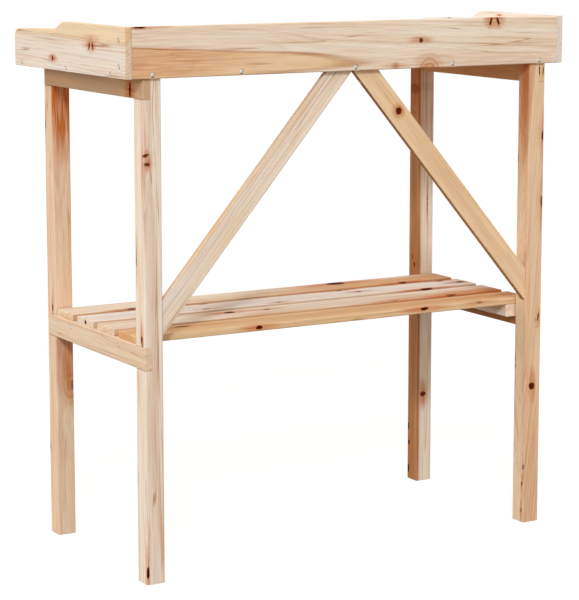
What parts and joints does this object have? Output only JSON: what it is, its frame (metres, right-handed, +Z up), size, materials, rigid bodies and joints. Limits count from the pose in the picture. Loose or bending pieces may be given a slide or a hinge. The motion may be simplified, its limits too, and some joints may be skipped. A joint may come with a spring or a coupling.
{
  "type": "potting bench",
  "caption": "Potting bench of bare softwood: an open-fronted tray with swept side panels on square legs, a slatted shelf below and two slanting braces across the back.",
  "frame": {"origin": "on the ground, under the middle of the whole bench", "axes": "+X to the right for someone working at the open front, +Y from the front to the back board, +Z up"},
  "size_m": [0.798, 0.405, 0.85],
  "materials": {
    "leg": "planed, bare softwood with knots",
    "rail": "planed, bare softwood with knots",
    "batten": "planed, bare softwood with knots",
    "slat": "planed, bare softwood with knots",
    "brace": "planed, bare softwood with knots",
    "plank": "planed, bare softwood with knots",
    "side_panel": "planed, bare softwood with knots",
    "back_board": "planed, bare softwood with knots",
    "screw": "bright zinc plated steel"
  },
  "bodies": {
    "root": {"leg_front_left": "leg", "leg_front_right": "leg", "leg_rear_left": "leg", "leg_rear_right": "leg", "top_rail_left": "rail", "top_rail_right": "rail", "shelf_rail_left": "rail", "shelf_rail_right": "rail", "shelf_cleat_left": "batten", "shelf_cleat_right": "batten", "corner_batten_left": "batten", "corner_batten_right": "batten", "shelf_slat_1": "slat", "shelf_slat_2": "slat", "shelf_slat_3": "slat", "shelf_slat_4": "slat", "brace_left": "brace", "brace_right": "brace", "tray_plank_1": "plank", "tray_plank_2": "plank", "tray_plank_3": "plank", "tray_plank_4": "plank", "tray_plank_5": "plank", "side_panel_left": "side_panel", "side_panel_right": "side_panel", "back_board": "back_board", "side_panel_screws": "screw", "back_board_screws": "screw", "corner_batten_screws": "screw", "tray_plank_screws": "screw", "shelf_cleat_screws": "screw", "shelf_slat_screws": "screw", "brace_screws": "screw"}
  },
  "joints": []
}
